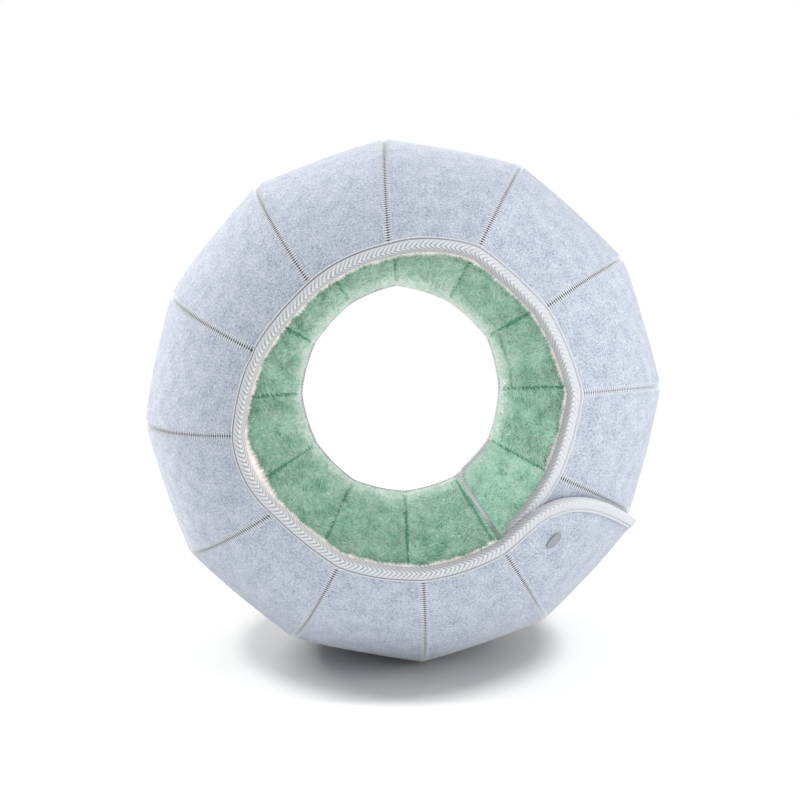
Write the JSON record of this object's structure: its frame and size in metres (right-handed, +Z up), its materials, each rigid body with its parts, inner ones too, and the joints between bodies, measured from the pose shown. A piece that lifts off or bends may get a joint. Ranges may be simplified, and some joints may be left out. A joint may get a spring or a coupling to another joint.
{
  "type": "felt cat cave",
  "caption": "Ball-like cat cave of curved felt facets with a round opening front and back, plush lining, herringbone binding and an overlapping flap closed by a snap",
  "frame": {"origin": "the middle of the floor contact, straight under the ring's axis and midway between its two openings", "axes": "+Y runs along the ring's axis from the front opening, which faces -Y, to the back one; +Z is up; the flap is at +X, low"},
  "size_m": [0.4447, 0.3325, 0.447],
  "materials": {
    "felt": "matte heathered pressed felt, pale blue-grey",
    "plush": "short mint-green plush pile",
    "tape": "pale grey herringbone twill tape, folded",
    "snap": "satin grey"
  },
  "bodies": {
    "root": {"felt_flap": "felt", "felt_facet_01": "felt", "felt_facet_02": "felt", "felt_facet_03": "felt", "felt_facet_04": "felt", "felt_facet_05": "felt", "felt_facet_06": "felt", "felt_facet_07": "felt", "felt_facet_08": "felt", "felt_facet_09": "felt", "felt_facet_10": "felt", "felt_facet_11": "felt", "felt_under_end": "felt", "lining_flap": "plush", "lining_facet_01": "plush", "lining_facet_02": "plush", "lining_facet_03": "plush", "lining_facet_04": "plush", "lining_facet_05": "plush", "lining_facet_06": "plush", "lining_facet_07": "plush", "lining_facet_08": "plush", "lining_facet_09": "plush", "lining_facet_10": "plush", "lining_facet_11": "plush", "lining_under_end": "plush", "binding_tape": "tape", "snap_cap": "snap"}
  },
  "joints": []
}
